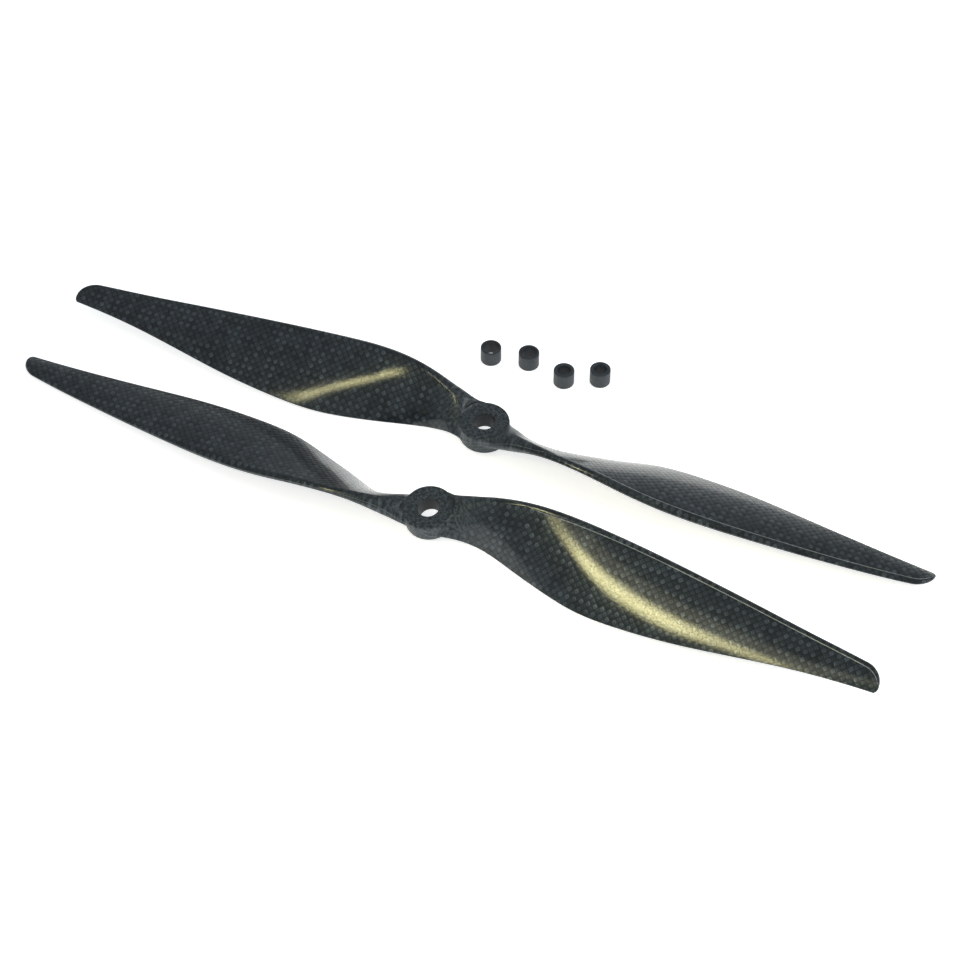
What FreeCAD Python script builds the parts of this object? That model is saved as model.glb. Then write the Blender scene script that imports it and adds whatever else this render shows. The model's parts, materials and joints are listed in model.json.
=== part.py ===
import FreeCAD, Part
import math
import os

from FreeCAD import Vector

# A matched pair of two-blade carbon propellers, one for each direction of turning,
# with the four adapter rings that reduce the hub bore to a motor's shaft.
# Both propellers lie on a table, suction side up; the rings stand on end behind them.
# Millimetres, +Z up, X along the clockwise propeller, table at Z = 0,
# origin under the middle of the set.

# ---- driving dimensions -------------------------------------------------------------
PROP_RADIUS = 177.8        # 14 inch propeller
HUB_RADIUS = 9.5
HUB_HEIGHT = 7.8
HUB_RIM = 0.7              # rounding of the hub's two rims
HUB_FACE_RADIUS = 8.6      # the seat for the washer is kept flat out to here
BORE_RADIUS = 4.0
SKIN = 0.45                # woven laminate, two plies
GLUE = 0.15                # resin line between the two skins, along the parting surface
EDGE = 0.5                 # blunt trailing edge
TIP_ROUNDING = 7.0         # length of the rounded leading corner at the tip
TIP_HEEL = 1.8             # small rounding of the trailing corner at the tip
ROOT_END = 22.0            # the solid root block fills the blade out to here
CORE_END = 140.0           # beyond this the two skins are laid on each other
FULLEST = 0.25             # the section keeps its greatest thickness up to this share of the chord
CAMBER = 0.042
CAMBER_FULL_AT = 45.0      # the section is fully cambered from this radius outwards

# Blade of the clockwise propeller that points along +X. Its leading edge is on the -Y
# side and high, its trailing edge on the +Y side and low. Heights are above the hub's
# lower face. Each row is one station: radius, leading edge y and z, trailing edge y and z,
# greatest thickness.
STATIONS = [
    (0.0, -8.9, 6.0, 8.9, 6.0, 4.0),
    (7.0, -8.9, 7.3, 6.7, 1.9, 6.2),
    (12.0, -8.9, 9.8, 5.3, 1.0, 7.0),
    (17.0, -9.2, 11.8, 3.8, -1.2, 6.0),
    (23.0, -10.1, 13.5, 3.6, -2.6, 4.4),
    (36.0, -12.1, 15.0, 6.8, -2.9, 2.7),
    (50.0, -13.4, 14.2, 10.6, -2.8, 2.7),
    (64.0, -14.1, 11.9, 13.7, -2.1, 2.8),
    (82.0, -13.9, 9.4, 14.4, -1.2, 2.9),
    (103.0, -12.4, 7.5, 13.0, -0.1, 2.6),
    (125.0, -10.2, 6.0, 10.0, 1.1, 2.1),
    (146.0, -7.8, 4.8, 7.1, 2.1, 1.6),
    (164.0, -5.6, 4.4, 5.3, 2.3, 1.4),
    (PROP_RADIUS, -3.6, 4.5, 4.4, 2.1, 1.2),
]
SECTION_RADII = [0.0, 3.5, 7.0, 10.0, 13.0, 16.0, 19.0, 23.0, 28.0, 34.0, 41.0, 50.0, 60.0,
                 72.0, 86.0, 101.0, 117.0, 133.0, 149.0, 164.0, PROP_RADIUS]
WEB_FROM, WEB_TO = 0.22, 0.38   # the spar's place along the chord

# The set as it lies on the table
# name prefix, hand, place of the hub, turn about the vertical in degrees, and how many degrees
# it leans forward over its two low trailing edges
LAID_DOWN = [
    ("cw_", 1, (0.0, 7.6), 0.0, 2.0),
    ("ccw_", -1, (-0.4, -38.7), -2.8, 10.2),
]
RING_RADIUS = 3.98
RING_HEIGHT = 6.5
RING_CHAMFER = 0.2
# name: bore, place on the table
RINGS = {
    "adapter_ring_a": (6.35, (-15.5, 47.5)),
    "adapter_ring_b": (6.0, (-1.1, 51.1)),
    "adapter_ring_c": (5.0, (15.0, 47.9)),
    "adapter_ring_d": (5.0, (27.4, 54.2)),
}

DOWN_FAR = 60.0


# ---- the blade's laws ----------------------------------------------------------------
def line_through(pick):
    """A smooth curve through one value pair of every station, by radius."""
    curve = Part.BSplineCurve()
    curve.interpolate(Points=[pick(s) for s in STATIONS], Parameters=[s[0] for s in STATIONS])
    return curve


LEADING = line_through(lambda s: Vector(s[0], s[1], s[2]))
TRAILING = line_through(lambda s: Vector(s[0], s[3], s[4]))
THICKNESS = line_through(lambda s: Vector(s[0], s[5], 0))


def station(radius):
    """Nose point, chord direction, upper normal, chord and thickness at a radius."""
    nose = LEADING.value(radius)
    tail = TRAILING.value(radius)
    chord = (tail - nose).Length
    along = (tail - nose) * (1.0 / chord)
    normal = Vector(0, -along.z, along.y)
    return nose, along, normal, chord, THICKNESS.value(radius).y


def camber_height(radius, x):
    """Height of the camber line over the chord, as a share of the chord."""
    return 4.0 * CAMBER * min(1.0, radius / CAMBER_FULL_AT) * x * (1.0 - x)


def half_thickness(thickness, chord, x):
    """Half the thickness at x along the chord: round nose, even front, tapering blunt tail."""
    ahead = min(1.0, 2.0 * x * chord / thickness)
    behind = max(0.0, (x - FULLEST) / (1.0 - FULLEST))
    nose = math.sqrt(1.0 - (1.0 - ahead) ** 2)
    return 0.5 * thickness * nose * (1.0 - behind ** 2) + 0.5 * EDGE * x


def section_point(radius, x, side, inset=0.0):
    """A point of the section: side +1 above, -1 below, 0 on the camber line."""
    nose, along, normal, chord, thickness = station(radius)
    height = camber_height(radius, x) * chord
    if side:
        height += side * (half_thickness(thickness, chord, x) - inset)
    return nose + along * (x * chord) + normal * height


def spline_edge(points):
    curve = Part.BSplineCurve()
    curve.interpolate(points)
    return curve.toShape()


# ---- blade bodies --------------------------------------------------------------------
def outer_section(radius):
    chord, thickness = station(radius)[3:]
    nose = 0.5 * thickness / chord
    shares = [0.0, 0.134 * nose, 0.5 * nose, nose]
    shares += [nose + (1.0 - nose) * q for q in (0.15, 0.35, 0.6, 0.8, 1.0)]
    above = [section_point(radius, x, 1) for x in reversed(shares)]
    below = [section_point(radius, x, -1) for x in shares[1:]]
    return Part.Wire([spline_edge(above + below), Part.makeLine(below[-1], above[0])])


def core_section(radius):
    """The section inside the skins, with small flat ends near the nose and the tail."""
    chord, thickness = station(radius)[3:]
    steps = [i / 200.0 for i in range(1, 200)]
    last = max(x for x in steps if half_thickness(thickness, chord, x) > SKIN + 0.12)
    first = (SKIN + 0.15) / chord
    shares = [first + (last - first) * 0.5 * (1.0 - math.cos(math.pi * i / 6)) for i in range(7)]
    above = [section_point(radius, x, 1, SKIN) for x in shares]
    below = [section_point(radius, x, -1, SKIN) for x in reversed(shares)]
    return Part.Wire([spline_edge(above), Part.makeLine(above[-1], below[0]),
                      spline_edge(below), Part.makeLine(below[-1], above[0])])


def web_section(radius):
    corners = [section_point(radius, x, side, -1.0)
               for x, side in ((WEB_FROM, 1), (WEB_TO, 1), (WEB_TO, -1), (WEB_FROM, -1))]
    return Part.makePolygon(corners + corners[:1])


def tip_trim():
    """Upright block that keeps the blade inside its rounded tip outline."""
    tail_y = STATIONS[-1][3]
    heel_y = tail_y - TIP_HEEL
    width = heel_y - STATIONS[-1][1]
    start = PROP_RADIUS - TIP_ROUNDING
    corner = []
    for turn in (0, 15, 30, 45, 60, 75):
        c, s = math.cos(math.radians(turn)), math.sin(math.radians(turn))
        x = start + TIP_ROUNDING * s
        corner.append(Vector(x, LEADING.value(x).y + width * (1 - c) - 0.15 * c, -DOWN_FAR))
    turns = [math.radians(a) for a in (0, 30, 60, 85)]
    corner += [Vector(PROP_RADIUS - TIP_HEEL * (1 - math.cos(a)),
                      heel_y + (TIP_HEEL + 0.3) * math.sin(a), -DOWN_FAR) for a in turns]
    far = Vector(corner[-1].x, DOWN_FAR, -DOWN_FAR)
    back = Vector(-1.0, DOWN_FAR, -DOWN_FAR)
    front = Vector(-1.0, -DOWN_FAR, -DOWN_FAR)
    side = Vector(start, -DOWN_FAR, -DOWN_FAR)
    outline = Part.Wire([spline_edge(corner), Part.makeLine(corner[-1], far), Part.makeLine(far, back),
                         Part.makeLine(back, front), Part.makeLine(front, side),
                         Part.makeLine(side, corner[0])])
    return Part.Face(outline).extrude(Vector(0, 0, 2 * DOWN_FAR))


def opposite(shape):
    """The same shape on the other blade."""
    turned = shape.copy()
    turned.rotate(Vector(0, 0, 0), Vector(0, 0, 1), 180)
    return turned


def parting_solid(lift):
    """Everything above the surface where the two skins meet, raised by lift."""
    shares = [-0.35, 0.0, 0.25, 0.5, 0.75, 1.0, 1.35]
    rows = []
    for radius in SECTION_RADII:
        rows.append([section_point(radius, x, 0) for x in shares])
    mirrored = [[Vector(-p.x, -p.y, p.z) for p in reversed(row)] for row in reversed(rows[1:])]
    grid = mirrored + rows
    grid.insert(0, [p + Vector(-4, 0, 0) for p in grid[0]])
    grid.append([p + Vector(4, 0, 0) for p in grid[-1]])
    surface = Part.BSplineSurface()
    surface.interpolate([[p + Vector(0, 0, lift) for p in row] for row in grid])
    return surface.toShape().extrude(Vector(0, 0, DOWN_FAR))


def hub_cylinder(inset):
    hub = Part.makeCylinder(HUB_RADIUS - inset, HUB_HEIGHT - 2 * inset, Vector(0, 0, inset))
    rims = [e for e in hub.Edges if e.Length > 10 and e.Curve.TypeId == "Part::GeomCircle"]
    return hub.makeFillet(HUB_RIM, rims)


def above_hub_face(inset):
    """The room for the washer, over the flat face of the hub."""
    base = Vector(0, 0, HUB_HEIGHT - inset)
    return Part.makeCylinder(HUB_FACE_RADIUS + inset, DOWN_FAR, base)


# ---- one propeller -------------------------------------------------------------------
def clockwise_propeller():
    """All the pieces of the clockwise propeller about its own hub axis."""
    blade = Part.makeLoft([outer_section(r) for r in SECTION_RADII], True, False, False, 5)
    blade = blade.common(tip_trim())
    core_radii = [r for r in SECTION_RADII if r < CORE_END] + [CORE_END]
    core = Part.makeLoft([core_section(r) for r in core_radii], True, False, False, 5)
    web = Part.makeLoft([web_section(r) for r in core_radii if r > 12.0], True, False, False, 5)
    bore = Part.makeCylinder(BORE_RADIUS, 3 * HUB_HEIGHT, Vector(0, 0, -HUB_HEIGHT))

    outside = hub_cylinder(0.0).fuse([blade, opposite(blade)]).cut(above_hub_face(0.0))
    inside = hub_cylinder(SKIN).fuse([core, opposite(core)]).cut(above_hub_face(SKIN))
    shell = outside.cut(inside).cut(bore)
    above = parting_solid(0.5 * GLUE)
    below = parting_solid(-0.5 * GLUE)

    root_box = Part.makeBox(2 * ROOT_END, 80, 80, Vector(-ROOT_END, -40, -40))
    blade_core = core.cut(root_box)
    spar = blade_core.common(web)
    foam = blade_core.cut(web)
    return {
        "upper_skin": shell.common(above),
        "lower_skin": shell.cut(below),
        "glue_line": shell.common(below).cut(above),
        "root_block": inside.common(root_box).cut(bore),
        "spar_a": spar,
        "spar_b": opposite(spar),
        "foam_core_a": foam,
        "foam_core_b": opposite(foam),
    }


def laid_down(shape, hand, place, turn, lean):
    """Lean a piece over its two low trailing edges and lay it in place; hand -1 mirrors it."""
    knee = min(STATIONS, key=lambda s: s[4])
    placed = shape.copy() if hand > 0 else shape.mirror(Vector(0, 0, 0), Vector(0, 1, 0))
    placed.rotate(Vector(0, 0, 0), Vector(knee[0], hand * knee[3], 0), lean)
    placed.rotate(Vector(0, 0, 0), Vector(0, 0, 1), turn)
    placed.translate(Vector(place[0], place[1], 0))
    return placed


def lowest(shapes):
    return min(s.optimalBoundingBox(False).ZMin for s in shapes.values())


def adapter_ring(bore):
    """A plain bush with small chamfers on its four rims."""
    inner = 0.5 * bore
    profile = [Vector(inner + RING_CHAMFER, 0, 0), Vector(RING_RADIUS - RING_CHAMFER, 0, 0),
               Vector(RING_RADIUS, 0, RING_CHAMFER), Vector(RING_RADIUS, 0, RING_HEIGHT - RING_CHAMFER),
               Vector(RING_RADIUS - RING_CHAMFER, 0, RING_HEIGHT), Vector(inner + RING_CHAMFER, 0, RING_HEIGHT),
               Vector(inner, 0, RING_HEIGHT - RING_CHAMFER), Vector(inner, 0, RING_CHAMFER)]
    face = Part.Face(Part.makePolygon(profile + profile[:1]))
    return face.revolve(Vector(0, 0, 0), Vector(0, 0, 1), 360)


# ---- the set -------------------------------------------------------------------------
def centred(nodes):
    """Stand the set on the table with its box centred on the origin."""
    box = FreeCAD.BoundBox()
    for shape in nodes.values():
        box.add(shape.optimalBoundingBox(False))
    for shape in nodes.values():
        shape.translate(Vector(-box.Center.x, -box.Center.y, -box.ZMin))
    return nodes


def build():
    pieces = clockwise_propeller()
    nodes = {}
    for prefix, hand, place, turn, lean in LAID_DOWN:
        placed = {prefix + name: laid_down(shape, hand, place, turn, lean)
                  for name, shape in pieces.items()}
        rise = -lowest(placed)
        for name, shape in placed.items():
            shape.translate(Vector(0, 0, rise))
            nodes[name] = shape
    for name, (bore, place) in RINGS.items():
        ring = adapter_ring(bore)
        ring.translate(Vector(place[0], place[1], 0))
        nodes[name] = ring
    return centred(nodes)


os.makedirs("parts", exist_ok=True)
for node, shape in build().items():
    if not shape.isValid():
        raise ValueError(node + " is not a valid shape")
    solid = shape.Solids[0] if len(shape.Solids) == 1 else Part.makeCompound(shape.Solids)
    solid.exportStep("parts/" + node + ".step")
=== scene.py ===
import json
import math

import bmesh
import bpy
import numpy as np
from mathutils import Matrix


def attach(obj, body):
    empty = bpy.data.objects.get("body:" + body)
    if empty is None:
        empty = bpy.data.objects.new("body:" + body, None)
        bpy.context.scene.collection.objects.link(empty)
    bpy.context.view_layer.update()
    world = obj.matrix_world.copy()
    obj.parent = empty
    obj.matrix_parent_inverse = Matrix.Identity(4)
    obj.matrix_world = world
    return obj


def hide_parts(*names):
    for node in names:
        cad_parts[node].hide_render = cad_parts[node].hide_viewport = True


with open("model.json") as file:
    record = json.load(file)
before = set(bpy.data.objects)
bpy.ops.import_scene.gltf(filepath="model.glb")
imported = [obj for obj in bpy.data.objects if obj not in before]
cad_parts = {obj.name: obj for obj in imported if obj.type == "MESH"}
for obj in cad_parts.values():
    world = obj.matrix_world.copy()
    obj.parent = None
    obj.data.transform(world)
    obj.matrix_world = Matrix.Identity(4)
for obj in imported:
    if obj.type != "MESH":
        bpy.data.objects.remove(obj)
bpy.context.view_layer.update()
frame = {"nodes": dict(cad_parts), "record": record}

import openvdb
from mathutils import Matrix, Vector

# ---- the propeller's own dimensions, in millimetres --------------------------------
PROP_RADIUS = 177.8
HUB_RADIUS, HUB_HEIGHT = 9.5, 7.8
HUB_RIM = 0.7                 # rounding of the hub's two rims
SEAT_RADIUS = 7.8             # the washer seat is flat out to here, then the blades rise over it
SEAT_CLIMB = 0.35             # how steeply they may rise
BORE_RADIUS = 4.0
BORE_LIP = 0.45               # the skins turn into the bore this far; the solid block shows between
EDGE = 0.5                    # blunt trailing edge
TIP_ROUNDING = 7.0            # length of the rounded leading corner at the tip
TIP_HEEL = 1.8                # small rounding of the trailing corner at the tip
TIP_SWEEP = 0.145             # slope of the leading edge, seen from above, where the rounding begins
TIP_EDGE = 0.3                # the tip's own edge is rounded over this distance
FULLEST = 0.25                # the section keeps its greatest thickness up to this share of the chord
CAMBER, CAMBER_FULL_AT = 0.042, 45.0
SEAM = 2.2                    # on the blade at +x the lower skin wraps this far over the leading edge
SEAM_FROM, SEAM_TO = 20.0, 46.0         # the wrap grows from nothing between these radii
SKIN = 0.2                    # thickness the skins are drawn with
ROOT_CUT = 24.0               # the hub and roots are one moulded form inside this radius
ROOT_MARGIN = 0.75            # how far past the cut that form is worked out
ROOT_Y, ROOT_Z = (-13.5, 13.6), (-4.75, 18.3)       # and its box in y and z
VOXEL = 0.25
PRESSED_REACH = 15.0          # the moulded look of the hub fades out this far past the rim
BEAD_STEP = 0.12              # the resin bead has at most one ring of points per this length
BEAD_HALF_WIDTH, BEAD_LEAD_EXTRA = 0.06, 0.12       # it is wider along the wrapped leading edge
BEAD_LEAD_FROM, BEAD_LEAD_OVER = 30.0, 20.0         # which it reaches between these radii
# radius, leading edge y and z, trailing edge y and z, greatest thickness
STATIONS = np.array([
    (0.0, -8.9, 6.0, 8.9, 6.0, 4.0),
    (7.0, -8.9, 7.3, 6.7, 1.9, 6.2),
    (12.0, -8.9, 9.8, 5.3, 1.0, 7.0),
    (17.0, -9.2, 11.8, 3.8, -1.2, 6.0),
    (23.0, -10.1, 13.5, 3.6, -2.6, 4.4),
    (36.0, -12.1, 15.0, 6.8, -2.9, 2.7),
    (50.0, -13.4, 14.2, 10.6, -2.8, 2.7),
    (64.0, -14.1, 11.9, 13.7, -2.1, 2.8),
    (82.0, -13.9, 9.4, 14.4, -1.2, 2.9),
    (103.0, -12.4, 7.5, 13.0, -0.1, 2.6),
    (125.0, -10.2, 6.0, 10.0, 1.1, 2.1),
    (146.0, -7.8, 4.8, 7.1, 2.1, 1.6),
    (164.0, -5.6, 4.4, 5.3, 2.3, 1.4),
    (PROP_RADIUS, -3.6, 4.5, 4.4, 2.1, 1.2),
])
RING_RADIUS, RING_HEIGHT, RING_EDGE = 3.98, 6.5, 0.22
RING_TURNS = 96                # flats round a ring
MM = 0.001
# prefix, hand, turn about the vertical, lean over the two low trailing edges, and the
# radii to which its two hand-trimmed tips come, at +x and at -x
LAID_DOWN = [
    ("cw", 1, 0.0, 2.0, (176.6, 174.4)),
    ("ccw", -1, -2.8, 10.2, (176.6, 177.75)),
]
UPPER, LOWER_SIDE = 1, 0       # how the faces of the two skins are tagged


def step(x):
    """0 below 0, 1 above 1, smooth between."""
    x = np.clip(x, 0.0, 1.0)
    return x * x * (3.0 - 2.0 * x)


def smooth_min(a, b, k):
    """The lesser of two distances, rounded over the length k where they cross."""
    h = np.clip(0.5 + 0.5 * (b - a) / k, 0.0, 1.0)
    return b + (a - b) * h - k * h * (1.0 - h)


def smooth_max(a, b, k):
    return -smooth_min(-a, -b, k)


# ---- the blade's laws: smooth curves through the stations ---------------------------
def curve_through(x, y, at):
    """The smooth cubic curve through the rows y at x, evaluated at the points given."""
    h = np.diff(x)
    d = np.diff(y, axis=0) / h[:, None]
    n = len(x)
    a = np.zeros((n, n))
    b = np.zeros_like(y)
    a[0, 0] = a[-1, -1] = 1.0
    b[0] = ((2 * h[0] + h[1]) * d[0] - h[0] * d[1]) / (h[0] + h[1])
    b[-1] = ((2 * h[-1] + h[-2]) * d[-1] - h[-1] * d[-2]) / (h[-1] + h[-2])
    for i in range(1, n - 1):
        a[i, i - 1], a[i, i], a[i, i + 1] = h[i], 2 * (h[i - 1] + h[i]), h[i - 1]
        b[i] = 3 * (h[i] * d[i - 1] + h[i - 1] * d[i])
    m = np.linalg.solve(a, b)
    i = np.clip(np.searchsorted(x, at) - 1, 0, n - 2)
    t = ((at - x[i]) / h[i])[:, None]
    w = h[i][:, None]
    return (y[i] * (1 + 2 * t) * (1 - t) ** 2 + m[i] * w * t * (1 - t) ** 2
            + y[i + 1] * t * t * (3 - 2 * t) + m[i + 1] * w * t * t * (t - 1))


LAW_R = np.arange(0.0, PROP_RADIUS + 0.05, 0.1)
LAW = curve_through(STATIONS[:, 0], STATIONS[:, 1:], LAW_R)


class Section:
    """The blade's section at each radius of an array."""

    def __init__(self, r, wrapped=1.0):
        ny, nz, ty, tz, t = (np.interp(r, LAW_R, LAW[:, k]) for k in range(5))
        self.r, self.ny, self.nz, self.t = r, ny, nz, t
        self.chord = np.hypot(ty - ny, tz - nz)
        self.ay, self.az = (ty - ny) / self.chord, (tz - nz) / self.chord
        self.m = CAMBER * np.minimum(1.0, r / CAMBER_FULL_AT)
        self.wrap = wrapped * step((r - SEAM_FROM) / (SEAM_TO - SEAM_FROM))

    def camber(self, s):
        x = s / self.chord
        return 4.0 * self.m * x * (1.0 - x) * self.chord

    def half(self, near, s=None):
        """Half the thickness at s along the chord, with the nose rounded by the distance near."""
        s = near if s is None else s
        x = s / self.chord
        ahead = np.clip(2.0 * near / self.t, 0.0, 1.0)
        behind = np.clip((x - FULLEST) / (1.0 - FULLEST), 0.0, 1.0)
        nose = np.sqrt(1.0 - (1.0 - ahead) ** 2)
        return 0.5 * self.t * nose * (1.0 - behind ** 2) + 0.5 * EDGE * np.clip(x, 0.0, 1.0)

    def ramp(self, s):
        """Rise of the parting surface over the camber line near the nose."""
        return self.wrap * 0.5 * self.t * np.maximum(0.0, 2.0 - s / SEAM)

    def seam(self):
        """How far behind the nose the two skins meet on the upper side."""
        low, high = np.zeros_like(self.r), np.full_like(self.r, SEAM + 0.3)
        for _ in range(40):
            mid = 0.5 * (low + high)
            above = self.half(mid) < self.ramp(mid)
            low, high = np.where(above, mid, low), np.where(above, high, mid)
        return 0.5 * (low + high)

    def inward(self, y, z):
        """Distance along the chord and height over it."""
        dy, dz = y - self.ny, z - self.nz
        return dy * self.ay + dz * self.az, dz * self.ay - dy * self.az

    def outward(self, s, h):
        """The y and z of a point s along the chord and h over it."""
        return self.ny + self.ay * s - self.az * h, self.nz + self.az * s + self.ay * h


# ---- the hub and the two blade roots as one rounded form ----------------------------
def blade_distance(x, y, z):
    """Distance from the outside of either blade, less than nothing inside."""
    turn = np.where(x < 0, -1.0, 1.0)
    sec = Section(np.abs(x))
    s, h = sec.inward(y * turn, z)
    e = h - sec.camber(s)
    a = 0.5 * sec.t
    round_nose = np.hypot(s - a, e) - a - 0.5 * EDGE * np.clip(s / sec.chord, 0, 1)
    behind = np.clip((s / sec.chord - FULLEST) / (1.0 - FULLEST), 0.0, 1.0)
    slope = sec.t * behind / (1.0 - FULLEST) / sec.chord
    body = (np.abs(e) - sec.half(np.maximum(s, a))) / np.sqrt(1.0 + slope ** 2)
    return smooth_max(np.where(s < a, round_nose, body), s - sec.chord, 0.15)


def hub_distance(rho, z):
    """Distance from the rounded hub disc, at the radius rho and height z."""
    qx = rho - (HUB_RADIUS - HUB_RIM)
    qz = np.abs(z - 0.5 * HUB_HEIGHT) - (0.5 * HUB_HEIGHT - HUB_RIM)
    outside = np.hypot(np.maximum(qx, 0), np.maximum(qz, 0))
    return np.minimum(np.maximum(qx, qz), 0.0) + outside - HUB_RIM


def root_distance(x, y, z):
    """Distance from the hub with its two roots: blades cut back to the seat, blended, bored."""
    rho = np.hypot(x, y)
    rise = np.maximum(0.0, rho - SEAT_RADIUS)
    slope = 2.0 * SEAT_CLIMB * rise
    seat = (z - HUB_HEIGHT - SEAT_CLIMB * rise ** 2) / np.sqrt(1.0 + slope ** 2)
    blade = smooth_max(blade_distance(x, y, z), seat, 0.8)
    fillet = 0.05 + 1.35 * step((rho - 8.2) / 1.6) * step((np.abs(x) - 1.5) / 3.5)
    form = smooth_min(hub_distance(rho, z), blade, fillet)
    return smooth_max(form, BORE_RADIUS - rho, 0.3)


def parting(x, y):
    """Height of the surface where the two skins meet, over the point x, y."""
    def plain(x):
        turn = np.where(x < 0, -1.0, 1.0)
        sec = Section(np.abs(x), x > 0)
        s = (y * turn - sec.ny) / sec.ay
        for _ in range(25):
            h = sec.camber(s) + sec.ramp(s)
            s = 0.5 * s + 0.5 * (y * turn - sec.ny + sec.az * h) / sec.ay
        return sec.nz + sec.az * s + sec.ay * h
    ease = 2.5                 # under the hub the two blades' surfaces are averaged over this
    eased = 0.25 * (plain(x - ease) + 2.0 * plain(x) + plain(x + ease))
    w = step((8.0 - np.abs(x)) / 4.0)
    return w * eased + (1.0 - w) * plain(x)


def root_mesh():
    """Points and quads of the hub with both roots, pulled exactly onto the form."""
    reach = ROOT_CUT + ROOT_MARGIN
    gx = np.arange(-reach, reach + 0.5 * VOXEL, VOXEL)
    gy = np.arange(*ROOT_Y, VOXEL)
    gz = np.arange(*ROOT_Z, VOXEL)
    field = np.empty((len(gx), len(gy), len(gz)), np.float32)
    yy, zz = np.meshgrid(gy, gz, indexing="ij")
    for i, x in enumerate(gx):
        field[i] = root_distance(np.full_like(yy, x), yy, zz)
    grid = openvdb.FloatGrid()
    band = 3.0                 # voxels either side of the surface
    grid.background = band
    grid.copyFromArray(np.clip(field / VOXEL, -band, band))
    points, quads = grid.convertToQuads(isovalue=0.0)
    p = points.astype(float) * VOXEL + np.array([gx[0], gy[0], gz[0]])
    inside = np.abs(p[:, 0]) < ROOT_CUT + 0.5
    nudge = 0.01
    for _ in range(4):
        q = p[inside]
        f = root_distance(*q.T)
        g = np.empty_like(q)
        for k in range(3):
            d = np.zeros(3)
            d[k] = nudge
            g[:, k] = (root_distance(*(q + d).T) - root_distance(*(q - d).T)) / (2.0 * nudge)
        move = f[:, None] * g / np.maximum((g ** 2).sum(1), 0.25)[:, None]
        p[inside] = q - np.clip(move, -0.2, 0.2)
    return p, quads


def moulded_root():
    """The root form as a bmesh cut at ROOT_CUT, its faces tagged 1 above the parting surface."""
    p, quads = root_mesh()
    height = parting(p[:, 0], p[:, 1])
    bm = bmesh.new()
    verts = [bm.verts.new((x, y, z - h)) for (x, y, z), h in zip(p, height)]
    for q in quads:
        bm.faces.new([verts[i] for i in q])
    bmesh.ops.bisect_plane(bm, geom=bm.verts[:] + bm.edges[:] + bm.faces[:], dist=1e-4,
                           plane_co=(0, 0, 0), plane_no=(0, 0, 1))
    for side in (1, -1):
        bmesh.ops.bisect_plane(bm, geom=bm.verts[:] + bm.edges[:] + bm.faces[:], dist=1e-4,
                               plane_co=(side * ROOT_CUT, 0, 0), plane_no=(side, 0, 0), clear_outer=True)
    for f in bm.faces:
        f.material_index = UPPER if f.calc_center_median().z > 0 else LOWER_SIDE
    co = np.array([v.co for v in bm.verts])
    co[:, 2] += parting(co[:, 0], co[:, 1])
    for v, c in zip(bm.verts, co):
        v.co = c
    return bm


# ---- the blades beyond the roots, as rows of points round the section ---------------
# how many faces run round the section: nose to seam, seam to tail, and back underneath
UPPER_FRONT, UPPER_REST, LOWER = 8, 34, 38
NEAR_ROWS, FAR_ROWS, TIP_ROWS = 22, 104, 30         # and along the blade


def blade_rows(radius, wrapped):
    """Points (row, column, xyz) of one blade; columns run nose, upper side, tail, lower side."""
    tip = radius - TIP_ROUNDING
    near = np.linspace(ROOT_CUT + 0.3, 40, NEAR_ROWS)
    far = np.linspace(41, tip, FAR_ROWS)[:-1]
    rounded = tip + TIP_ROUNDING * np.sin(np.linspace(0, 0.5 * math.pi, TIP_ROWS))
    r = np.concatenate([near, far, rounded])
    r[-1] = radius - 0.002
    sec = Section(r[:, None], wrapped)
    heel_y = STATIONS[-1, 3] - TIP_HEEL
    width = heel_y - STATIONS[-1, 1]
    out = np.clip((r - tip) / TIP_ROUNDING, 0.0, 1.0)[:, None]
    low_y = sec.ny + width * (1 - np.sqrt(1 - out ** 2))
    low_slope = TIP_SWEEP + width * out / (TIP_ROUNDING * np.sqrt(1 - out ** 2) + 1e-3)
    back = np.clip(1 - (radius - r) / TIP_HEEL, 0.0, 1.0)[:, None]
    high_y = np.where(back > 0, heel_y + (TIP_HEEL + 0.3) * np.sqrt(1 - back ** 2), 99.0)
    high_slope = back / (np.sqrt(1 - back ** 2) + 1e-3)
    start = (low_y - sec.ny) / sec.ay
    end = np.minimum(sec.chord, (high_y - sec.ny) / sec.ay)
    span = np.maximum(end - start, 0.02)
    seam = np.minimum(sec.seam(), 0.4 * span)
    in_front = np.arange(UPPER_FRONT if wrapped else 0)
    front = 1 - np.cos(0.5 * math.pi * in_front / UPPER_FRONT)
    rest = 0.5 * (1 - np.cos(math.pi * np.arange(UPPER_REST + 1) / UPPER_REST))
    below = 0.5 * (1 - np.cos(math.pi * np.arange(LOWER, 0, -1) / LOWER))
    s_up = start + np.concatenate([seam * front, seam + (span - seam) * rest], axis=1)
    s_low = start + span * below

    def height(s, side):
        """Height over the chord; near the tip the edge is as round as the nose."""
        y = sec.ny + sec.ay * s
        d = np.minimum((y - low_y) / np.hypot(1, low_slope), radius - r[:, None])
        d = np.where(out > 0, np.maximum(d, 0.0), s)
        heel = np.where(back > 0, (high_y - y) / np.hypot(1, high_slope), 9.0)
        closing = np.sqrt(1 - (1 - np.clip(np.minimum(d, heel) / TIP_EDGE, 0, 1)) ** 2)
        return sec.camber(s) + side * sec.half(np.minimum(s, d), s) * closing

    up = sec.outward(s_up, height(s_up, 1))
    low = sec.outward(s_low, height(s_low, -1))
    tail_s = end + 0.1 * np.clip(2.0 * span - 1.0, 0, 1) * (back < 0.5)
    tail = sec.outward(tail_s, sec.camber(end))
    y = np.concatenate([up[0], tail[0], low[0]], axis=1)
    z = np.concatenate([up[1], tail[1], low[1]], axis=1)
    return np.stack([np.repeat(r[:, None], y.shape[1], 1), y, z], 2)


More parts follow.
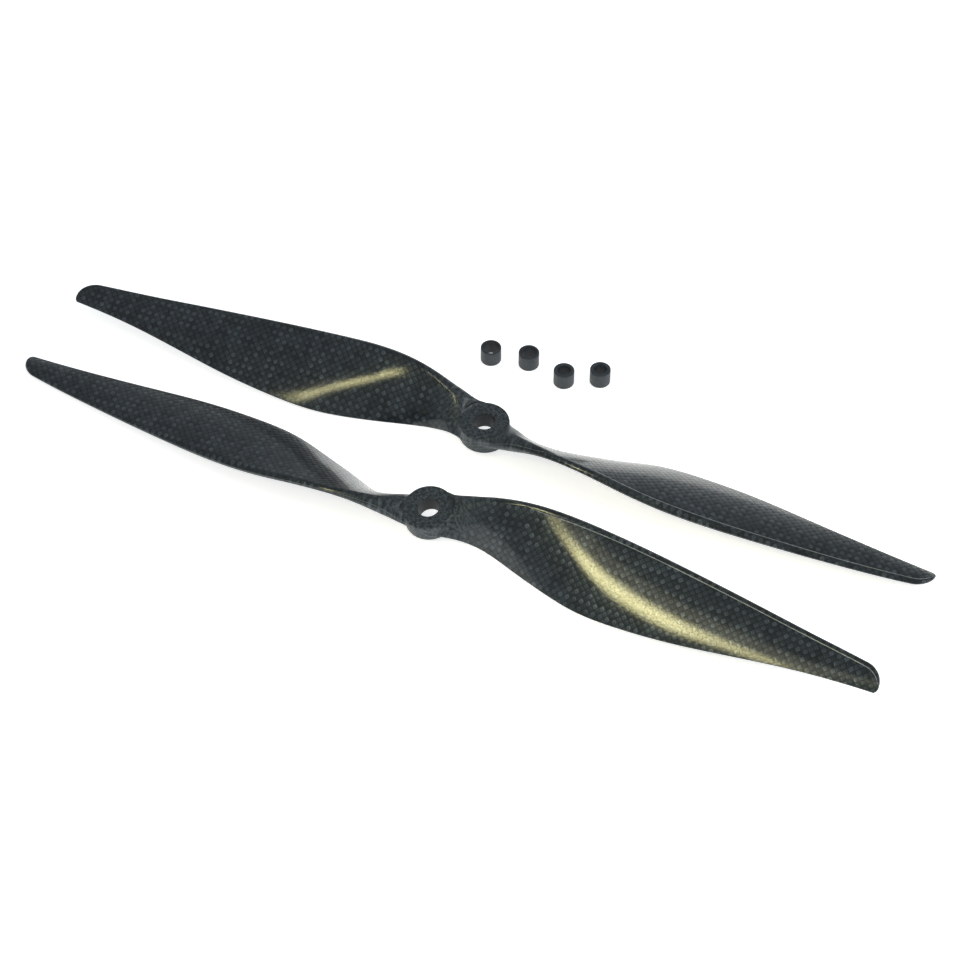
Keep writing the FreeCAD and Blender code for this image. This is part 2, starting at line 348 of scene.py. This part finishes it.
def end_arcs(bm, side):
    """The root's open end at one side as two chains of vertices, seam to tail, upper and lower."""
    def at_cut(e):
        return all(abs(v.co.x - side * ROOT_CUT) < 1e-3 for v in e.verts)
    ring = [e for e in bm.edges if e.is_boundary and at_cut(e)]
    tags = {e: e.link_faces[0].material_index for e in ring}
    at = {}
    for e in ring:
        for v in e.verts:
            at.setdefault(v, []).append(e)
    meeting = [v for v, es in at.items() if len(es) == 2 and tags[es[0]] != tags[es[1]]]
    meeting.sort(key=lambda v: v.co.y * side)
    chains = []
    for tag in (UPPER, LOWER_SIDE):
        chain, last = [meeting[0]], None
        while chain[-1] is not meeting[-1]:
            e = next(e for e in at[chain[-1]] if e is not last and tags[e] == tag)
            chain.append(e.other_vert(chain[-1]))
            last = e
        chains.append(chain)
    return chains


def zip_chains(bm, a, b, tag):
    """Faces between two chains of vertices that run the same way."""
    def shares(chain):
        d = [0.0]
        for p, q in zip(chain, chain[1:]):
            d.append(d[-1] + (q.co - p.co).length)
        return [x / d[-1] for x in d]
    sa, sb = shares(a), shares(b)
    i = j = 0
    while i < len(a) - 1 or j < len(b) - 1:
        if j == len(b) - 1 or (i < len(a) - 1 and sa[i + 1] <= sb[j + 1]):
            f = bm.faces.new((a[i], a[i + 1], b[j]))
            i += 1
        else:
            f = bm.faces.new((a[i], b[j + 1], b[j]))
            j += 1
        f.material_index = tag


def whole_propeller(root, radii):
    """A clockwise propeller's outside as one closed bmesh, in millimetres about its hub."""
    bm = root.copy()
    for side, radius in zip((1, -1), radii):
        rows = blade_rows(radius, side > 0)
        count = rows.shape[1]
        seam = UPPER_FRONT if side > 0 else 0
        tail = seam + UPPER_REST + 1
        arcs = end_arcs(bm, side)
        grid = [[bm.verts.new((side * x, side * y, z)) for x, y, z in row] for row in rows]
        for k in range(len(grid) - 1):
            for c in range(count):
                d = (c + 1) % count
                f = bm.faces.new((grid[k][c], grid[k][d], grid[k + 1][d], grid[k + 1][c]))
                f.material_index = UPPER if seam <= c < tail else LOWER_SIDE
        cap = bm.faces.new(grid[-1])
        cap.material_index = LOWER_SIDE
        first = grid[0]
        zip_chains(bm, arcs[0], first[seam:tail + 1], UPPER)
        zip_chains(bm, arcs[1], first[seam::-1] + first[:tail - 1:-1], LOWER_SIDE)
    bmesh.ops.recalc_face_normals(bm, faces=bm.faces[:])

    def in_bore(v):
        on_wall = math.hypot(v.co.x, v.co.y) < BORE_RADIUS + 0.02
        return on_wall and BORE_LIP < v.co.z < HUB_HEIGHT - BORE_LIP
    wall = [f for f in bm.faces if all(in_bore(v) for v in f.verts)]
    bmesh.ops.delete(bm, geom=wall, context="FACES")
    for f in bm.faces:
        f.smooth = True
    bm.normal_update()
    bm.verts.index_update()
    return bm


def weave_coordinates(p):
    """Distance along the span and round the section from the middle line, in millimetres."""
    turn = np.where(p[:, 0] < 0, -1.0, 1.0)
    sec = Section(np.abs(p[:, 0]))
    s, _ = sec.inward(p[:, 1] * turn, p[:, 2])
    v = (s + sec.ny / sec.ay) * turn
    rho = np.hypot(p[:, 0], p[:, 1])
    down = (HUB_HEIGHT - p[:, 2]) * step((rho - 7.5) / 2.0)
    wall = p[:, 1] + np.sign(p[:, 1]) * down             # the cloth folds down over the rim
    w = step((blade_distance(*p.T) - hub_distance(rho, p[:, 2])) / 3.0)
    return np.stack([p[:, 0], v * (1 - w) + wall * w], 1)


def skin_thickness(p):
    """How thick each skin is drawn: thinner where the blade itself is thin."""
    turn = np.where(p[:, 0] < 0, -1.0, 1.0)
    sec = Section(np.abs(p[:, 0]))
    s, h = sec.inward(p[:, 1] * turn, p[:, 2])
    local = np.abs(h - sec.camber(s))
    out = np.abs(p[:, 0]) > ROOT_CUT
    return np.where(out, np.clip(0.85 * local, 0.02, SKIN), SKIN)


class Surface:
    """A propeller's outside as arrays: points, normals and faces of the two skins."""

    def __init__(self, bm):
        self.co = np.array([v.co for v in bm.verts])
        self.no = np.array([v.normal for v in bm.verts])
        self.weave = weave_coordinates(self.co)
        self.thin = skin_thickness(self.co)
        past_rim = np.hypot(self.co[:, 0], self.co[:, 1]) - HUB_RADIUS - 0.1
        self.moulded = 1.0 - step(past_rim / PRESSED_REACH)  # 1 on the hub, 0 on the blades
        self.faces = {UPPER: [], LOWER_SIDE: []}
        for f in bm.faces:
            self.faces[f.material_index].append([v.index for v in f.verts])
        self.loop = self.parting_loop(bm)

    def parting_loop(self, bm):
        """Vertices of the closed line where the skins meet, in order."""
        at = {}
        for e in bm.edges:
            if len({f.material_index for f in e.link_faces}) == 2:
                for v in e.verts:
                    at.setdefault(v, []).append(e)
        start = next(iter(at))
        chain, last = [start], None
        while True:
            last = next(e for e in at[chain[-1]] if e is not last)
            v = last.other_vert(chain[-1])
            if v is start:
                return [v.index for v in chain]
            chain.append(v)


def as_mesh(name, points, polys, hand):
    """A smooth Blender mesh from millimetre points, mirrored for the other hand."""
    if hand < 0:
        points = points * np.array([1, -1, 1])
        polys = [list(reversed(f)) for f in polys]
    mesh = bpy.data.meshes.new(name)
    mesh.from_pydata((points * MM).tolist(), [], polys)
    mesh.polygons.foreach_set("use_smooth", [True] * len(mesh.polygons))
    return mesh


def tube_faces(count, m):
    """Quads of a closed tube of count rings with m points each."""
    return [[k * m + c, k * m + (c + 1) % m, (k + 1) % count * m + (c + 1) % m, (k + 1) % count * m + c]
            for k in range(count) for c in range(m)]


def skin_mesh(name, surface, tag, hand):
    """One skin as a thin closed shell."""
    faces = surface.faces[tag]
    used = sorted({i for f in faces for i in f})
    new = {old: k for k, old in enumerate(used)}
    n = len(used)
    outer = [[new[i] for i in f] for f in faces]
    sides = {(a, b) for f in outer for a, b in zip(f, f[1:] + f[:1])}
    rim = [(a, b) for a, b in sides if (b, a) not in sides]
    lining = [[i + n for i in reversed(f)] for f in outer]
    walls = [[b, a, a + n, b + n] for a, b in sorted(rim)]
    p = surface.co[used]
    inner = p - surface.no[used] * surface.thin[used][:, None]
    mesh = as_mesh(name, np.concatenate([p, inner]), outer + lining + walls, hand)
    weave = np.concatenate([surface.weave[used]] * 2)
    layer = mesh.uv_layers.new(name="weave")
    corner = np.empty(len(mesh.loops), np.int32)
    mesh.loops.foreach_get("vertex_index", corner)
    in_cm = weave[corner] * 0.1
    layer.data.foreach_set("uv", in_cm.astype(np.float32).ravel())
    moulded = np.concatenate([surface.moulded[used]] * 2).astype(np.float32)
    mesh.attributes.new("moulded", "FLOAT", "POINT").data.foreach_set("value", moulded)
    mesh.update()
    return mesh


def bead_mesh(name, surface, hand):
    """The line of resin between the skins, standing very slightly proud."""
    p, n = surface.co[surface.loop], surface.no[surface.loop]
    keep = [0]
    for k in range(1, len(p)):
        if np.linalg.norm(p[k] - p[keep[-1]]) > BEAD_STEP:
            keep.append(k)
    p, n = p[keep], n[keep]
    t = np.roll(p, -1, 0) - np.roll(p, 1, 0)
    t /= np.linalg.norm(t, axis=1)[:, None]
    n -= t * (n * t).sum(1)[:, None]
    n /= np.linalg.norm(n, axis=1)[:, None]
    b = np.cross(t, n)
    turn = np.where(p[:, 0] < 0, -1.0, 1.0)
    sec = Section(np.abs(p[:, 0]))
    s, _ = sec.inward(p[:, 1] * turn, p[:, 2])
    lead = step((p[:, 0] - BEAD_LEAD_FROM) / BEAD_LEAD_OVER) * (s < 0.5 * sec.chord)
    wide = BEAD_HALF_WIDTH + BEAD_LEAD_EXTRA * lead
    # the bead's section: share of the half width across, millimetres out of the skin
    shape = [(-1.0, -0.03), (-0.55, 0.03), (0.0, 0.045), (0.55, 0.03), (1.0, -0.03), (0.0, -0.14)]
    rings = np.stack([p + b * (wide * u)[:, None] + n * d for u, d in shape], 1)
    count, m = rings.shape[:2]
    mesh = as_mesh(name, rings.reshape(-1, 3), tube_faces(count, m), hand)
    mesh.update()
    return mesh


# ---- placing the pieces -------------------------------------------------------------
MOUNTS = {m["name"]: m for m in frame["record"]["mounts"]}


def hub_foot(prefix):
    """The middle of a hub's lower face, from the record's bore."""
    bore = MOUNTS[prefix + "_bore"]
    return Vector(bore["pos_m"]) - Vector(bore["axis"]) * (0.5 * HUB_HEIGHT * MM)


def placement(prefix, hand, turn, lean):
    """Where a propeller modelled about its hub goes in the set: leaning over its low edges."""
    knee = STATIONS[STATIONS[:, 4].argmin()]
    over = Vector((knee[0], hand * knee[3], 0)).normalized()
    return (Matrix.Translation(hub_foot(prefix)) @ Matrix.Rotation(math.radians(turn), 4, "Z")
            @ Matrix.Rotation(math.radians(lean), 4, over))


def add(name, mesh, matrix, body, replaced, material):
    """Put one piece in the scene on its body, in place of the CAD nodes it redraws."""
    mesh.transform(matrix)
    obj = bpy.data.objects.new(name, mesh)
    bpy.context.scene.collection.objects.link(obj)
    mesh.materials.append(material)
    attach(obj, body)
    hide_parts(*replaced)


# ---- materials ------------------------------------------------------------------------
class Shader:
    """A material whose nodes are added by short calls; each call gives an output socket."""

    def __init__(self, name, **plain):
        self.material = bpy.data.materials.new(name)
        self.material.use_nodes = True
        self.tree = self.material.node_tree
        self.surface = self.tree.nodes["Principled BSDF"].inputs
        for socket, value in plain.items():
            self.surface[socket.replace("_", " ")].default_value = value

    def node(self, kind, *inputs, output=0, **settings):
        """Add a node; inputs are sockets to link, values to set or None to leave alone."""
        n = self.tree.nodes.new("ShaderNode" + kind)
        for key, value in settings.items():
            setattr(n, key, value)
        for socket, value in zip(n.inputs, inputs):
            if isinstance(value, bpy.types.NodeSocket):
                self.tree.links.new(value, socket)
            elif value is not None:
                socket.default_value = value
        return n.outputs[output]

    def math(self, operation, *inputs):
        return self.node("Math", *inputs, operation=operation)

    def times(self, a, b):
        return self.math("MULTIPLY", a, b)

    def stretched(self, vector, x, y, z):
        """A place whose three coordinates are multiplied by x, y and z."""
        split = self.node("SeparateXYZ", vector).node.outputs
        parts = [self.times(part, factor) for part, factor in zip(split, (x, y, z))]
        return self.node("CombineXYZ", *parts)

    def rise(self, value, low, high, to_low=0.0, to_high=1.0):
        """to_low where value is under low, to_high where it is over high, smooth between."""
        return self.node("MapRange", value, low, high, to_low, to_high,
                         interpolation_type="SMOOTHSTEP")

    def blend(self, share, a, b):
        """The colour a where share is 0 and b where it is 1."""
        n = self.tree.nodes.new("ShaderNodeMix")
        n.data_type = "RGBA"
        factor, first, second = n.inputs[0], n.inputs[6], n.inputs[7]
        for socket, value in ((factor, share), (first, a), (second, b)):
            if isinstance(value, bpy.types.NodeSocket):
                self.tree.links.new(value, socket)
            else:
                socket.default_value = value
        return n.outputs[2]

    def noise(self, vector, scale, detail=2.0, rough=0.5):
        return self.node("TexNoise", vector, None, scale, detail, rough)

    def bump(self, height, distance):
        """Relief of the height given, 0 to 1, times a distance in metres."""
        n = self.tree.nodes.new("ShaderNodeBump")
        n.inputs["Strength"].default_value = 1.0
        n.inputs["Distance"].default_value = distance
        self.tree.links.new(height, n.inputs["Height"])
        return n.outputs[0]

    def drive(self, **sockets):
        """Link the shader's own sockets to what varies over the surface; gives the material."""
        for socket, value in sockets.items():
            self.tree.links.new(value, self.surface[socket.replace("_", " ")])
        return self.material


TOW = 2.0                      # width of a tow of the woven cloth, in millimetres
WANDER = 0.075                 # how far the tows stray from straight, in centimetres


def carbon_weave():
    """Plain-woven carbon cloth laid at 45 degrees to the blade, under a glossy clear coat."""
    g = Shader("carbon_weave", Metallic=0.5, Specular_IOR_Level=0.1, Coat_Roughness=0.05, Coat_IOR=1.5)
    place = g.node("UVMap", uv_map="weave")
    moulded = g.node("Attribute", attribute_name="moulded", output=2)
    drift = g.node("TexNoise", place, None, 0.9, 1.0, output=1)
    wander = g.node("VectorMath", drift, (0.5, 0.5, 0.5), operation="SUBTRACT")
    place = g.node("VectorMath", wander, (WANDER, WANDER, 0.0), place, operation="MULTIPLY_ADD")
    split = g.node("SeparateXYZ", place).node
    along, across = split.outputs[0], split.outputs[1]
    # a and b count tows along the two diagonals; the wave is positive where the first is on top
    per_cm = 10.0 / (TOW * math.sqrt(2.0))
    a = g.times(g.math("ADD", along, across), per_cm)
    b = g.times(g.math("SUBTRACT", along, across), per_cm)
    wave = g.times(g.math("SINE", g.times(a, math.pi)), g.math("SINE", g.times(b, math.pi)))
    over = g.rise(wave, -0.12, 0.12)
    dome = g.math("ABSOLUTE", wave)
    # low towards the edges of each square, where the colour goes dark: dark resin where the tows meet,
    # and painted shade down the dome's sides
    edge_gap_and_dome_shade = g.rise(dome, 0.0, 0.75)
    # the top of each square's dome, darkened below as painted shade
    painted_crown_shade = g.rise(dome, 0.72, 0.95)
    square = g.node("CombineXYZ", g.math("FLOOR", a), g.math("FLOOR", b), 0.0)
    cell = g.node("TexWhiteNoise", square)
    drawn, packed = 0.35, 9.0                # fibres are long one way and fine the other
    along_a = g.node("CombineXYZ", g.times(a, drawn), g.times(b, packed), 0.0)
    along_b = g.node("CombineXYZ", g.times(a, packed), g.times(b, drawn), 4.0)
    long_a, long_b = g.noise(along_a, 1.0, 3.0), g.noise(along_b, 1.0, 3.0)
    fibres = g.node("MapRange", over, 0.0, 1.0, long_b, long_a)
    patch = g.noise(place, 0.7, 2.0)
    # lighter and darker fibres, squares and patches, and the middle of each square darkened as painted
    # shade on the top of its dome
    tone = g.times(g.rise(fibres, 0.25, 0.75, 0.7, 1.3), g.rise(cell, 0.0, 1.0, 0.65, 1.4))
    tone = g.times(tone, g.rise(patch, 0.3, 0.7, 0.85, 1.15))
    tone = g.times(tone, g.math("SUBTRACT", 1.0, g.times(painted_crown_shade, 0.28)))
    # the tows lying on top one way are coloured lighter than those the other way: a painted sheen for
    # the glint that one family of tows catches
    light = g.blend(over, (0.026, 0.033, 0.039, 1), (0.049, 0.059, 0.068, 1))
    # the cloth darkens towards each square's edges: dark resin between the tows, and painted shade down
    # the dome's sides
    cloth = g.blend(edge_gap_and_dome_shade, (0.014, 0.018, 0.0205, 1), light)
    mottle = g.noise(place, 9.0, 4.0, 0.65)
    pressed = g.blend(g.rise(mottle, 0.35, 0.7), (0.025, 0.031, 0.036, 1), (0.125, 0.144, 0.156, 1))
    toned = g.node("VectorMath", cloth, tone, operation="MULTIPLY")
    colour = g.blend(g.times(moulded, 0.75), toned, pressed)
    woven = g.times(g.math("POWER", dome, 0.6), g.math("SUBTRACT", 1.0, moulded))
    relief = g.math("ADD", woven, g.times(mottle, moulded))
    grain = g.noise(place, 15.0, 3.0, 0.7)
    skim = g.math("ADD", g.times(dome, 0.2), g.times(grain, 2.1))
    coat = g.times(g.rise(moulded, 0.0, 1.0, 0.7, 0.2), g.rise(grain, 0.34, 0.66, 0.55, 1.35))
    return g.drive(Base_Color=colour, Roughness=g.rise(moulded, 0.0, 1.0, 0.36, 0.5), Coat_Weight=coat,
                   Normal=g.bump(relief, 0.11 * MM), Coat_Normal=g.bump(skim, 0.01 * MM))


def clear_resin():
    """The line of hardened resin between the two skins, coloured pale: partly its own tone, partly a
    painted highlight along the crease it marks.
    """
    g = Shader("clear_resin", Coat_Weight=0.15, Coat_Roughness=0.2)
    at = g.node("TexCoord", output=3)
    cloud = g.noise(at, 900.0, 3.0, 0.6)
    # pale grey, far lighter than the cloth: the resin's own tone with a painted highlight along the
    # crease
    colour = g.blend(g.rise(cloud, 0.3, 0.7), (0.13, 0.145, 0.15, 1), (0.28, 0.30, 0.30, 1))
    return g.drive(Base_Color=colour, Roughness=g.rise(cloud, 0.3, 0.7, 0.4, 0.55),
                   Normal=g.bump(cloud, 0.02 * MM))


def solid_carbon():
    """Cloth plies pressed solid, seen edge on in the bore."""
    g = Shader("solid_carbon", Metallic=0.3, Specular_IOR_Level=0.4)
    flat = g.stretched(g.node("TexCoord", output=3), 120.0, 120.0, 3600.0)
    ply = g.noise(flat, 1.0, 3.0, 0.6)
    colour = g.blend(g.rise(ply, 0.35, 0.65), (0.012, 0.014, 0.015, 1), (0.045, 0.05, 0.052, 1))
    return g.drive(Base_Color=colour, Roughness=g.rise(ply, 0.3, 0.7, 0.4, 0.6),
                   Normal=g.bump(ply, 0.03 * MM))


def carbon_tow():
    """Unidirectional tows running along the spar."""
    g = Shader("carbon_tow", Metallic=0.5)
    drawn = g.stretched(g.node("TexCoord", output=3), 40.0, 4000.0, 4000.0)
    strand = g.noise(drawn, 1.0, 4.0, 0.6)
    colour = g.blend(strand, (0.015, 0.017, 0.018, 1), (0.07, 0.075, 0.078, 1))
    return g.drive(Base_Color=colour, Roughness=g.rise(strand, 0.3, 0.7, 0.3, 0.5),
                   Normal=g.bump(strand, 0.02 * MM))


def foam():
    """Pale closed-cell foam."""
    g = Shader("foam", Specular_IOR_Level=0.3)
    cells = g.node("TexVoronoi", g.node("TexCoord", output=3), None, 1600.0)
    colour = g.blend(g.rise(cells, 0.1, 0.7), (0.72, 0.68, 0.56, 1), (0.5, 0.46, 0.36, 1))
    return g.drive(Base_Color=colour, Roughness=g.rise(cells, 0.0, 1.0, 0.75, 0.95),
                   Normal=g.bump(cells, 0.2 * MM))


def ring_plastic():
    """Moulded dark nylon with a fine spark-eroded texture."""
    g = Shader("ring_plastic", Specular_IOR_Level=0.45)
    at = g.node("TexCoord", output=3)
    fine = g.noise(at, 5200.0, 3.0, 0.6)
    cloud = g.noise(at, 420.0, 2.0, 0.5)
    colour = g.blend(g.rise(cloud, 0.3, 0.7), (0.019, 0.025, 0.033, 1), (0.030, 0.037, 0.047, 1))
    return g.drive(Base_Color=colour, Roughness=g.rise(fine, 0.3, 0.7, 0.42, 0.6),
                   Normal=g.bump(fine, 0.02 * MM))


def ring_mesh(name, bore):
    """A reducing ring turned from a profile with rounded edges, about its foot, in millimetres."""
    profile = []
    inner, outer, top = bore + RING_EDGE, RING_RADIUS - RING_EDGE, RING_HEIGHT - RING_EDGE
    corners = ((inner, RING_EDGE), (inner, top), (outer, top), (outer, RING_EDGE))
    # degrees round the corner's arc, and a point just off each end of it to hold the flats flat
    arc = ((0, -0.1), (0, 0), (22.5, 0), (45, 0), (67.5, 0), (90, 0), (90, 0.1))
    for k, (r, z) in enumerate(corners):
        for turn, slide in arc:
            t = math.radians(270 - 90 * k - turn)
            profile.append((r + RING_EDGE * math.cos(t) + slide * math.sin(t),
                            z + RING_EDGE * math.sin(t) - slide * math.cos(t)))
    turns = [2 * math.pi * i / RING_TURNS for i in range(RING_TURNS)]
    points = [(r * math.cos(t), r * math.sin(t), z) for t in turns for r, z in profile]
    return as_mesh(name, np.array(points), tube_faces(RING_TURNS, len(profile)), 1)


# ---- the pieces -----------------------------------------------------------------------
CARBON, RESIN, RING = carbon_weave(), clear_resin(), ring_plastic()
ROOT = moulded_root()
for prefix, hand, turn, lean, radii in LAID_DOWN:
    where = placement(prefix, hand, turn, lean)
    body = prefix + "_propeller"
    surface = Surface(whole_propeller(ROOT, radii))
    for tag, side in ((UPPER, "upper"), (LOWER_SIDE, "lower")):
        name = prefix + "_skin_" + side
        add(name, skin_mesh(name, surface, tag, hand), where, body, [prefix + "_" + side + "_skin"],
            CARBON)
    name = prefix + "_resin_line"
    add(name, bead_mesh(name, surface, hand), where, body, [prefix + "_glue_line"],
        RESIN)

for letter in "abcd":
    name, bore = "ring_" + letter, MOUNTS["adapter_ring_" + letter + "_bore"]
    foot = Vector((bore["pos_m"][0], bore["pos_m"][1], 0.0))
    add(name, ring_mesh(name, bore["dims"]["r_mm"]), Matrix.Translation(foot), name,
        ["adapter_ring_" + letter], RING)

# the pieces inside keep their CAD meshes
KEPT = {"root_block": solid_carbon(), "spar": carbon_tow(), "foam_core": foam()}
for name, obj in frame["nodes"].items():
    for word, material in KEPT.items():
        if word in name:
            for s in obj.material_slots:
                s.material = material

# ---- stage, camera and light -------------------------------------------------------------
floor_finish = Shader("floor", Base_Color=(0.9, 0.9, 0.9, 1), Roughness=0.9, Specular_IOR_Level=0.1,
                      Emission_Color=(1, 1, 1, 1), Emission_Strength=0.7)
FLOOR_HALF, FLOOR_DROP = 4.0, 0.3 * MM        # just under the table the pieces lie on
corners = [(x * FLOOR_HALF, y * FLOOR_HALF, 0) for x, y in ((-1, -1), (1, -1), (1, 1), (-1, 1))]
floor_mesh = bpy.data.meshes.new("floor")
floor_mesh.from_pydata(corners, [], [(0, 1, 2, 3)])
floor_mesh.materials.append(floor_finish.material)
floor = bpy.data.objects.new("floor", floor_mesh)
floor.location.z = -FLOOR_DROP
bpy.context.scene.collection.objects.link(floor)


def aim(obj, place, point):
    """Put a camera or a light in the scene, looking from one place at another."""
    bpy.context.scene.collection.objects.link(obj)
    obj.location = place
    obj.rotation_euler = (Vector(point) - Vector(place)).to_track_quat("-Z", "Y").to_euler()


def soft_light(name, place, point, size, watts, colour, spread=180):
    light = bpy.data.lights.new(name, "AREA")
    light.shape = "DISK"
    light.size = size
    light.energy = watts
    light.color = colour
    light.spread = math.radians(spread)
    aim(bpy.data.objects.new(name, light), place, point)


# the photo's viewing angle, fitted to the outlines; the target is set off from the far hub's foot
AZIMUTH, ELEVATION = math.radians(24.63), math.radians(48.23)
DISTANCE, LENS, SENSOR = 1.0395, 105.26, 36.0
target = hub_foot("cw") + Vector((0.008104, -0.021753, 0.00025))
level = math.cos(ELEVATION)
look = Vector((-math.sin(AZIMUTH) * level, math.cos(AZIMUTH) * level, -math.sin(ELEVATION)))
camera = bpy.data.objects.new("camera", bpy.data.cameras.new("camera"))
camera.data.lens = LENS
camera.data.sensor_width = SENSOR
aim(camera, target - look * DISTANCE, target)
bpy.context.scene.camera = camera

# A small warm lamp makes the gold streaks on the two blades that face it, a wider glow
# softens them, and a big white softbox lights the far side.
soft_light("lamp", (-0.25, -0.67, 0.90), (0.10, -0.045, 0.01), 0.25, 0.047, (1.0, 0.93, 0.47), spread=18)
soft_light("lamp_glow", (-0.2, -0.52, 0.97), (0.0, 0.0, 0.0), 0.36, 0.5, (1.0, 0.94, 0.68))
soft_light("softbox", (1.2, 0.2, 1.1), (0.0, 0.0, 0.0), 1.3, 10.0, (1.0, 1.0, 1.0))

world = bpy.data.worlds.new("studio")
world.use_nodes = True
sky = world.node_tree.nodes["Background"].inputs
sky["Color"].default_value = (0.92, 1.0, 1.05, 1)
sky["Strength"].default_value = 0.45
bpy.context.scene.world = world
bpy.context.scene.view_settings.view_transform = "Standard"
